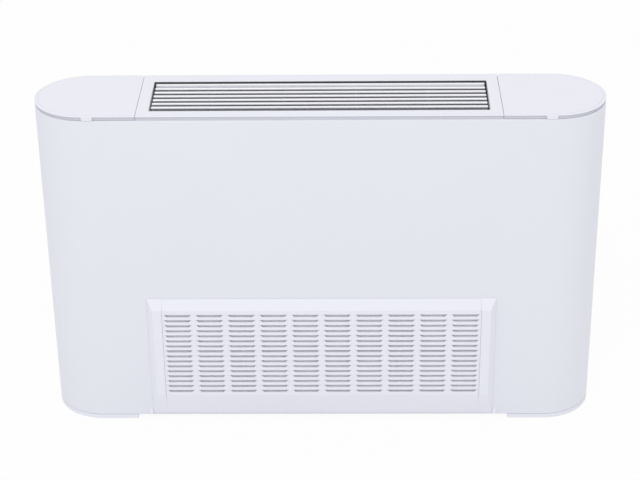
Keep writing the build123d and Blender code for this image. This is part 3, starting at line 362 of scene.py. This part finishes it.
# Foam sheet: closed-cell polyethylene glued behind the upper front against sweating.
# Its cut skin shows small bubbles.
foam = Finish("closed_cell_foam", Specular_IOR_Level=0.2)
bubble = foam.place.cells(700)
foam.set(
    Base_Color=bubble.blend((0.035, 0.035, 0.037, 1), (0.10, 0.10, 0.105, 1)),
    Roughness=0.8 + 0.15 * bubble,
    Normal=foam.bump(bubble, 4e-4),
)
foam.on("front_insulation")

# Air filter: a moulded grey frame with cross bars, and a net of crossed polyester strands.
# The net is woven, so the strands of one way lie a little before those of the other.
net = Finish("filter_net", Specular_IOR_Level=0.3)
weave = net.place.noise(900, 3)
net.set(
    Base_Color=weave.blend((0.78, 0.78, 0.83, 1), (0.90, 0.90, 0.94, 1)),
    Roughness=0.6 + 0.2 * weave,
    Normal=net.bump(weave, 5e-5),
)
frame_plastic = Finish("filter_frame_plastic", Specular_IOR_Level=0.4)
frame_plastic.set(
    Base_Color=frame_plastic.place.noise(40, 3).blend((0.52, 0.52, 0.56, 1), (0.58, 0.58, 0.62, 1)),
    Roughness=0.5 + 0.1 * frame_plastic.place.noise(900),
    Normal=frame_plastic.bump(frame_plastic.place.noise(2400), 1.5e-5),
)
frame_plastic.on("filter_frame")
strand_pitch = 0.0016
strand_width = 0.0013
strand_share = 0.45
net_low, net_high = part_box("filter_net")
strand_depth = (net_high[1] - net_low[1]) * strand_share
strands = bmesh.new()
for number in range(int((net_high[0] - net_low[0]) / strand_pitch)):
    strand_x = net_low[0] + (number + 0.5) * strand_pitch
    block(
        strands,
        (strand_x - strand_width / 2, net_low[1], net_low[2]),
        (strand_x + strand_width / 2, net_low[1] + strand_depth, net_high[2]),
    )
for number in range(int((net_high[2] - net_low[2]) / strand_pitch)):
    strand_z = net_low[2] + (number + 0.5) * strand_pitch
    block(
        strands,
        (net_low[0], net_low[1] + strand_depth, strand_z - strand_width / 2),
        (net_high[0], net_low[1] + 2 * strand_depth, strand_z + strand_width / 2),
    )
made(strands, "filter_strands", "intake", "net", net, "filter_net")

# Casing: the folded front sheet that wraps round both ends, in baked white powder coat.
# The coat has a fine orange peel and a very slight cloudiness.
coat = Finish("white_powder_coat", Specular_IOR_Level=0.42)
cloud = coat.place.noise(5, 3)
orange_peel = coat.place.noise(650, 3)
coat.set(
    Base_Color=cloud.blend((0.79, 0.803, 0.868, 1), (0.805, 0.818, 0.883, 1)),
    Roughness=0.36 + 0.08 * cloud + 0.04 * orange_peel,
    Normal=coat.bump(orange_peel, 2.5e-5),
)
coat.on("casing")

# White mouldings: grille with its ends and lugs, feet, end frames and control panel.
# They have the fine dull grain of an eroded mould.
moulded = Finish("white_moulded_plastic", Specular_IOR_Level=0.45)
flow = moulded.place.noise(8, 3)
spark = moulded.place.noise(2400)
moulded.set(
    Base_Color=flow.blend((0.82, 0.828, 0.90, 1), (0.835, 0.843, 0.915, 1)),
    Roughness=0.42 + 0.06 * flow + 0.05 * spark,
    Normal=moulded.bump(spark, 1.5e-5),
)
moulded.on(
    "intake_grille", "control_panel", *pair("end_frame"), *pair("grille_end"),
    *pair("grille_pivot"), *pair("foot"),
)

# Lids: hinged mouldings over the two ends, hollow below, with a fine groove inside their rim.
# The wall is a skirt set back below the thin rim, greyed by painted shade, and a finger tab hangs before
# it.
outlet_low, outlet_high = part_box("outlet_grille")
cover_top = outlet_high[2]
front_y, rear_y = outlet_low[1], outlet_high[1]
middle_y = (front_y + rear_y) / 2
undercut = 0.003
cover_wall = 0.0025
ceiling = cover_top - cover_wall
rim = (
    (undercut, -0.0021), (0.0004, -0.0021), (0, -0.0018), (0, -0.0014), (0.0004, -0.0011),
    (0.0044, -0.0004), (0.0047, -0.0010), (0.0056, -0.0010), (0.0059, 0),
)
painted_shade_top = cover_top - 0.002

# Painted shade: below the rim's top the plastic is coloured darker, except on the finger tab, for the
# shade under the rim.
cover_plastic = Finish("cover_plastic", Specular_IOR_Level=0.45)
cover_flow = cover_plastic.place.noise(8, 3)
cover_spark = cover_plastic.place.noise(2400)
on_top = cover_plastic.place.along(2) > painted_shade_top
on_tab = (front_y + undercut / 2 - cover_plastic.place.along(1)) > 0
lit_not_shaded = on_top.either(on_tab)
cover_plastic.set(
    Base_Color=(lit_not_shaded * 0.9 + cover_flow * 0.1).blend((0.62, 0.628, 0.69, 1), (0.825, 0.833, 0.905, 1)),
    Roughness=0.42 + 0.06 * cover_flow + 0.05 * cover_spark,
    Normal=cover_plastic.bump(cover_spark, 1.5e-5),
)


def cover_profile(base):
    """The points of a cover's edge, as (distance in, height), from its ceiling out to its top."""
    under = [(undercut + cover_wall, ceiling), (undercut + cover_wall, base), (undercut, base)]
    return under + [(inset, cover_top + drop) for inset, drop in rim]


def loft(mesh, rings):
    """The skin between one ring of corners and the next, open from the last corner to the first."""
    for ring, beyond in zip(rings, rings[1:]):
        for corner in range(len(ring) - 1):
            mesh.faces.new((ring[corner], ring[corner + 1], beyond[corner + 1], beyond[corner]))


def tube(mesh, low_x, high_x, centre_y, centre_z, inner, outer, steps=24):
    """A short tube lying along the width."""
    angles = [2 * math.pi * step / steps for step in range(steps)]
    rings = []
    for radius, x in ((inner, low_x), (outer, low_x), (outer, high_x), (inner, high_x), (inner, low_x)):
        rings.append([
            mesh.verts.new((x, centre_y + radius * math.cos(angle), centre_z + radius * math.sin(angle)))
            for angle in angles
        ])
        rings[-1].append(rings[-1][0])
    loft(mesh, rings)


end_radius = (rear_y - front_y) / 2
end_steps = 64
tab_place = 0.0825
tab_width = 0.019
tab_proud = 0.0003
tab_round = 0.0024
tab_drop = 0.0012
tab_steps = 6
lid_low, lid_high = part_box("lid_left")
pin_low, pin_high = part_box("lid_pin_left")
hinge_y = (pin_low[1] + pin_high[1]) / 2
hinge_z = (pin_low[2] + pin_high[2]) / 2
pin_radius = (pin_high[1] - pin_low[1]) / 2
knuckle_radius = 0.0024
knuckle_length = 0.011
knuckle_bore = 1.05 * pin_radius
web_overlap = 0.0005
notch_x = pin_low[0] - 0.003
notch_y = hinge_y - knuckle_radius - 0.0008


def lid_ring(mesh, inset, height, wall):
    """The left lid's outline: front edge, round end, rear edge and hinge notch."""
    radius = end_radius - inset
    places = [(lid_high[0], front_y + inset)]
    for step in range(end_steps + 1):
        angle = -math.pi / 2 - math.pi * step / end_steps
        x = lid_low[0] + end_radius + radius * math.cos(angle)
        places.append((x, middle_y + radius * math.sin(angle)))
    inner_y = min(notch_y - wall, rear_y - inset)
    places += [(notch_x - wall, rear_y - inset), (notch_x - wall, inner_y), (lid_high[0], inner_y)]
    return [mesh.verts.new((x, y, height)) for x, y in places]


def lid_shape():
    """The left lid as a mesh."""
    lid = bmesh.new()
    profile = cover_profile(lid_low[2])
    rings = [
        lid_ring(lid, inset, height, cover_wall if number < 2 else 0)
        for number, (inset, height) in enumerate(profile)
    ]
    loft(lid, rings)
    lid.faces.new(rings[0])
    lid.faces.new(rings[-1])
    lid.faces.new([ring[0] for ring in rings] + [ring[-1] for ring in reversed(rings)])
    for low_x in (pin_low[0], pin_high[0] - knuckle_length):
        tube(lid, low_x, low_x + knuckle_length, hinge_y, hinge_z, knuckle_bore, knuckle_radius)
        block(
            lid, (low_x, notch_y - web_overlap, hinge_z + knuckle_radius / 2),
            (low_x + knuckle_length, hinge_y, hinge_z + 0.97 * knuckle_radius),
        )
    tab_x = lid_high[0] - tab_place
    tab_top = cover_top - tab_drop
    tab_outline = [(tab_x - tab_width / 2, tab_top)]
    for side, first in ((-1, math.pi), (1, 1.5 * math.pi)):
        for step in range(tab_steps + 1):
            angle = first + step / tab_steps * math.pi / 2
            tab_outline.append((
                tab_x + side * (tab_width / 2 - tab_round) + tab_round * math.cos(angle),
                lid_low[2] + tab_round + tab_round * math.sin(angle),
            ))
    tab_outline.append((tab_x + tab_width / 2, tab_top))
    tab_back = front_y + undercut + cover_wall / 2
    fronts = [lid.verts.new((x, front_y - tab_proud, z)) for x, z in tab_outline]
    backs = [lid.verts.new((x, tab_back, z)) for x, z in tab_outline]
    loft(lid, [fronts + fronts[:1], backs + backs[:1]])
    lid.faces.new(fronts)
    lid.faces.new(backs[::-1])
    return lid


for side in ("left", "right"):
    lid = lid_shape()
    if side == "right":
        bmesh.ops.scale(lid, vec=(-1, 1, 1), verts=lid.verts)
    bmesh.ops.recalc_face_normals(lid, faces=lid.faces)
    made(lid, "moulded_lid_" + side, "lid_" + side, "white_plastic", cover_plastic, "lid_" + side)

# Air outlet: a moulded frame between the lids, with a collar that leads the air up.
# Six bent blades and a flat rear bar stand on cross ribs, clear of the frame at both ends.


def cut_away(mesh, cutter):
    """The first mesh with the second cut out of it."""
    holders = []
    for shape in (mesh, cutter):
        bmesh.ops.recalc_face_normals(shape, faces=shape.faces)
        data = bpy.data.meshes.new("cutting")
        shape.to_mesh(data)
        shape.free()
        holders.append(bpy.data.objects.new("cutting", data))
        bpy.context.scene.collection.objects.link(holders[-1])
    cut = holders[0].modifiers.new("cut", "BOOLEAN")
    cut.object = holders[1]
    cut.use_self = True
    data = bpy.data.meshes.new_from_object(
        holders[0].evaluated_get(bpy.context.evaluated_depsgraph_get())
    )
    for holder in holders:
        bpy.data.objects.remove(holder)
    result = bmesh.new()
    result.from_mesh(data)
    return result


def extruded(mesh, outline, low_x, high_x):
    """A closed (depth, height) outline drawn out along the width."""
    ends = [[mesh.verts.new((x, y, z)) for y, z in outline] for x in (low_x, high_x)]
    loft(mesh, [end + end[:1] for end in ends])
    mesh.faces.new(ends[0][::-1])
    mesh.faces.new(ends[1])


opening_half = 0.2948
opening_front = front_y + 0.021
opening_rear = opening_front + 0.127
collar_foot = outlet_low[2]
plate_height = 0.009
plate_edge = cover_profile(cover_top - plate_height)
section = [(front_y + inset, height) for inset, height in plate_edge]
section += [(rear_y - inset, height) for inset, height in reversed(plate_edge)]
plate = bmesh.new()
extruded(plate, section, outlet_low[0], outlet_high[0])
hole = bmesh.new()
block(
    hole, (-opening_half, opening_front, collar_foot),
    (opening_half, opening_rear, cover_top + plate_height),
)
outlet_frame = cut_away(plate, hole)
collar_half = opening_half + cover_wall
for low, high in (
    ((-collar_half, opening_front - cover_wall), (collar_half, opening_front)),
    ((-collar_half, opening_rear), (collar_half, opening_rear + cover_wall)),
    ((-collar_half, opening_front), (-opening_half, opening_rear)),
    ((opening_half, opening_front), (collar_half, opening_rear)),
):
    block(outlet_frame, (*low, collar_foot), (*high, ceiling))
# The frame takes the cover plastic, so below the rim's top it carries the same painted shade.
made(outlet_frame, "outlet_frame", "cabinet", "white_plastic", cover_plastic, "outlet_grille")

# The collar's walls carry a thin lining whose colour is painted shade: near black at the rear, pale at
# the front.
painted_shade_lining = Finish("painted_shade_lining", Specular_IOR_Level=0.2)
pore = painted_shade_lining.place.cells(900)
painted_shade_ramp = (opening_rear - painted_shade_lining.place.along(1)) * (1 / (opening_rear - opening_front))
painted_shade_lining.set(
    Base_Color=(painted_shade_ramp * 0.85 + pore * 0.15).blend((0.04, 0.04, 0.045, 1), (0.85, 0.85, 0.90, 1)),
    Roughness=0.8 + 0.1 * pore,
    Normal=painted_shade_lining.bump(pore, 2e-4),
)
lining = 0.001
lining_top = cover_top - 0.0006
lining_mesh = bmesh.new()
for low, high in (
    ((-opening_half, opening_front), (opening_half, opening_front + lining)),
    ((-opening_half, opening_rear - lining), (opening_half, opening_rear)),
    ((-opening_half, opening_front + lining), (lining - opening_half, opening_rear - lining)),
    ((opening_half - lining, opening_front + lining), (opening_half, opening_rear - lining)),
):
    block(lining_mesh, (*low, collar_foot), (*high, lining_top))
made(lining_mesh, "outlet_painted_shade_lining", "cabinet", "foam", painted_shade_lining)

# Painted light and shade: the blades' tops are coloured bright and their legs below grey, for the lit
# tops and the shaded gaps.
blade_plastic = Finish("blade_plastic", Specular_IOR_Level=0.45)
blade_top = cover_top - 0.001
painted_lit_top = blade_plastic.place.along(2) > blade_top - 0.004
blade_plastic.set(
    Base_Color=painted_lit_top.blend((0.60, 0.605, 0.65, 1), (0.90, 0.905, 0.95, 1)),
    Roughness=0.42 + 0.08 * blade_plastic.place.noise(900),
    Normal=blade_plastic.bump(blade_plastic.place.noise(2400), 1.5e-5),
)
blade_count = 6
blade_thickness = 0.0014
blade_lip = 0.0057
blade_turn = 0.0038
blade_turn_steps = 8
blade_leg = 0.009
blade_pitch = 0.0161
blade_foot = blade_top - blade_turn - blade_leg
blade_half = opening_half - 0.0042
first_tip = opening_front + 0.0148
blades = bmesh.new()
for number in range(blade_count):
    tip = first_tip + number * blade_pitch
    bend = tip + blade_lip
    above = [(tip, blade_top)]
    below = [(tip, blade_top - blade_thickness)]
    for step in range(blade_turn_steps + 1):
        angle = math.pi / 2 * (1 - step / blade_turn_steps)
        for edge, radius in ((above, blade_turn), (below, blade_turn - blade_thickness)):
            height = blade_top - blade_turn + radius * math.sin(angle)
            edge.append((bend + radius * math.cos(angle), height))
    for edge in (above, below):
        edge.append((edge[-1][0], blade_foot))
    extruded(blades, above + below[::-1], -blade_half, blade_half)
bar_front = first_tip + blade_count * blade_pitch + 0.0009
bar_rear = bar_front + 0.0065
extruded(
    blades,
    [
        (bar_front, blade_top), (bar_rear, blade_top), (bar_rear, blade_top - blade_thickness),
        (bar_front + blade_thickness, blade_top - blade_thickness),
        (bar_front + blade_thickness, blade_foot), (bar_front, blade_foot),
    ],
    -blade_half, blade_half,
)
rib_pitch = 0.126
rib_thickness = 0.002
rib_drop = 0.002
for number in range(4):
    rib_x = (number - 1.5) * rib_pitch
    block(
        blades, (rib_x - rib_thickness / 2, opening_front, blade_foot),
        (rib_x + rib_thickness / 2, opening_rear, blade_top - blade_turn - rib_drop),
    )
made(blades, "outlet_blades", "cabinet", "white_plastic", blade_plastic)

# Knobs: grey mouldings, each with a printed line that points to a plain scale on the panel.
# The thermostat's scale runs over three quarters of a turn, and the fan has four speeds.
knob_plastic = Finish("knob_plastic", Specular_IOR_Level=0.5)
knob_plastic.set(
    Base_Color=knob_plastic.place.noise(60).blend((0.60, 0.61, 0.65, 1), (0.64, 0.65, 0.69, 1)),
    Roughness=0.35 + 0.1 * knob_plastic.place.noise(900),
    Normal=knob_plastic.bump(knob_plastic.place.noise(2400), 1.5e-5),
)
knob_plastic.on("thermostat_knob", "speed_knob")
print_ink = Finish("grey_print", Roughness=0.6)
print_ink.set(
    Base_Color=print_ink.place.noise(1500).blend((0.10, 0.10, 0.12, 1), (0.14, 0.14, 0.16, 1)),
)


def add_figure(mesh, figure, size, place):
    """One raised figure, standing upright on a flat face."""
    writing = bpy.data.curves.new("figure", "FONT")
    writing.body = figure
    writing.size = size
    writing.extrude = print_depth / 2
    writing.align_x = "CENTER"
    writing.align_y = "CENTER"
    holder = bpy.data.objects.new("figure", writing)
    bpy.context.scene.collection.objects.link(holder)
    shape = bpy.data.meshes.new_from_object(
        holder.evaluated_get(bpy.context.evaluated_depsgraph_get())
    )
    shape.transform(place)
    mesh.from_mesh(shape)
    bpy.data.objects.remove(holder)
    bpy.data.meshes.remove(shape)


print_depth = 0.0002
tick_width = 0.0006
tick_length = 0.0018
scale_radius = 0.0156
figure_radius = 0.0192
figure_size = 0.0034
pointer_near = 0.004
pointer_far = 0.0095
panel_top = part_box("control_panel")[1][2]
scales = {
    "thermostat": [math.radians(135 - 45 * step) for step in range(7)],
    "speed": [math.radians(40 * step) for step in range(4)],
}
for control, angles in scales.items():
    knob_low, knob_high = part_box(control + "_knob")
    knob_x = (knob_low[0] + knob_high[0]) / 2
    knob_y = (knob_low[1] + knob_high[1]) / 2
    scale = bmesh.new()
    for number, angle in enumerate(angles):
        centre = Matrix.Translation((knob_x, knob_y, panel_top))
        turned_out = centre @ Matrix.Rotation(angle, 4, "Z")
        block(
            scale, (-tick_width / 2, scale_radius, 0),
            (tick_width / 2, scale_radius + tick_length, print_depth), turned_out,
        )
        figure_place = turned_out @ Vector((0, figure_radius, print_depth / 2))
        add_figure(scale, str(number), figure_size, Matrix.Translation(figure_place))
    made(scale, control + "_scale", "cabinet", "knob_plastic", print_ink)
    pointer = bmesh.new()
    block(
        pointer, (knob_x - tick_width / 2, knob_y + pointer_near, knob_high[2] - print_depth),
        (knob_x + tick_width / 2, knob_y + pointer_far, knob_high[2] + print_depth),
    )
    made(pointer, control + "_pointer", control + "_knob", "knob_plastic", print_ink)

# Casing screws: zinc-plated pan heads with a cross recess, two above and two below.
# They go through the casing's flanges into the side plates' tabs.


def turn(mesh, profile, steps):
    """A shape turned about the upright axis from its profile, a row of (radius, height)."""
    rings = []
    for radius, height in profile:
        if radius == 0:
            rings.append([mesh.verts.new((0, 0, height))] * steps)
            continue
        rings.append([
            mesh.verts.new(spin @ Vector((radius, 0, height)))
            for spin in (Matrix.Rotation(2 * math.pi * step / steps, 4, "Z") for step in range(steps))
        ])
    for ring, beyond in zip(rings, rings[1:]):
        for step in range(steps):
            following = (step + 1) % steps
            corners = (ring[step], ring[following], beyond[following], beyond[step])
            mesh.faces.new(list(dict.fromkeys(corners)))


head_radius = 0.0036
head_height = 0.002
shank_radius = 0.002
shank_length = 0.008
recess = 0.0036
recess_width = 0.0008
recess_depth = 0.0012
recess_turn = math.radians(20)
screw_profile = [
    (0, -shank_length), (shank_radius * 0.7, -shank_length),
    (shank_radius, shank_radius * 0.6 - shank_length), (shank_radius, 0), (head_radius, 0),
    (head_radius, head_height * 0.3), (head_radius * 0.93, head_height * 0.62),
    (head_radius * 0.75, head_height * 0.86), (head_radius * 0.4, head_height), (0, head_height),
]
head = bmesh.new()
turn(head, screw_profile, 32)
cutter = bmesh.new()
for reach_x, reach_y in ((recess, recess_width), (recess_width, recess)):
    block(
        cutter, (-reach_x / 2, -reach_y / 2, head_height - recess_depth),
        (reach_x / 2, reach_y / 2, 2 * head_height),
    )
cut_screw = bpy.data.meshes.new("cut_screw")
screw_mesh = cut_away(head, cutter)
screw_mesh.to_mesh(cut_screw)
screw_mesh.free()
screws_low, screws_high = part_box("casing_screws")
screws = bmesh.new()
screws_y = (screws_low[1] + screws_high[1]) / 2
for side_x in (screws_low[0] + head_radius, screws_high[0] - head_radius):
    for seat_z, tip_over in ((screws_high[2] - head_height, 0), (screws_low[2] + head_height, math.pi)):
        seat = Matrix.Translation((side_x, screws_y, seat_z))
        one = cut_screw.copy()
        one.transform(seat @ Matrix.Rotation(tip_over, 4, "X") @ Matrix.Rotation(recess_turn, 4, "Z"))
        screws.from_mesh(one)
made(screws, "pan_head_screws", "cabinet", "steel", plated, "casing_screws")

# Studio: a white floor that keeps the soft shadow, and even daylight from all round.
# A large softbox hangs above and in front.
floor_size = 30
floor_glow = 0.94
bpy.ops.mesh.primitive_plane_add(size=floor_size, location=(0, 0, 0))
floor = bpy.context.object
floor.name = "studio_floor"
floor_paint = Finish("studio_floor", Roughness=0.9, Specular_IOR_Level=0.0)
floor_paint.set(Base_Color=(0.88, 0.88, 0.885, 1))
tree = floor_paint.material.node_tree


def white_rays(tree):
    """1 on a ray that shows the background: from the camera, a mirror or a clear surface."""
    path = tree.nodes.new("ShaderNodeLightPath")
    straight, glossy, through = (
        Shade(tree, path.outputs["Is " + kind + " Ray"]) for kind in ("Camera", "Glossy", "Transmission")
    )
    return straight.either(glossy).either(through)


rays = white_rays(tree)
glow = rays.node("Emission", None, {"Color": (1, 1, 1, 1), "Strength": 1.0})
painted = Shade(tree, floor_paint.shader.outputs[0])
shown = rays.node("MixShader", None, {0: rays * floor_glow, 1: painted, 2: glow})
tree.links.new(shown.socket, tree.nodes["Material Output"].inputs["Surface"])
floor.data.materials.append(floor_paint.material)

world = bpy.data.worlds.new("daylight")
bpy.context.scene.world = world
world.use_nodes = True
sky = world.node_tree.nodes["Background"]
sky.inputs["Color"].default_value = (1, 1, 1, 1)
daylight = 0.872
world.node_tree.links.new(
    (white_rays(world.node_tree) * (1 - daylight) + daylight).socket, sky.inputs["Strength"]
)


def softbox(name, place, size, power, aim):
    """A plain square lamp that faces a point."""
    lamp = bpy.data.lights.new(name, "AREA")
    lamp.size = size
    lamp.energy = power
    holder = bpy.data.objects.new(name, lamp)
    bpy.context.scene.collection.objects.link(holder)
    holder.location = place
    holder.rotation_euler = (Vector(aim) - Vector(place)).to_track_quat("-Z", "Y").to_euler()


softbox("key", (-0.3, -2.2, 2.9), 1.6, 20, (0, 0, 0.3))

# Camera: where the photograph was taken from.
# It looks down on the cabinet, a little turned and rolled.
lens = 103.0
camera_place = (0.0578, -2.9346, 1.9136)
looking_down = math.radians(28.324)
turned = math.radians(1.178)
rolled = math.radians(-0.732)
camera = bpy.data.objects.new("camera", bpy.data.cameras.new("camera"))
bpy.context.scene.collection.objects.link(camera)
camera.data.lens = lens
camera.matrix_world = (
    Matrix.Translation(camera_place)
    @ Matrix.Rotation(turned, 4, "Z")
    @ Matrix.Rotation(math.pi / 2 - looking_down, 4, "X")
    @ Matrix.Rotation(rolled, 4, "Z")
)
bpy.context.scene.camera = camera
bpy.context.scene.view_settings.view_transform = "Standard"
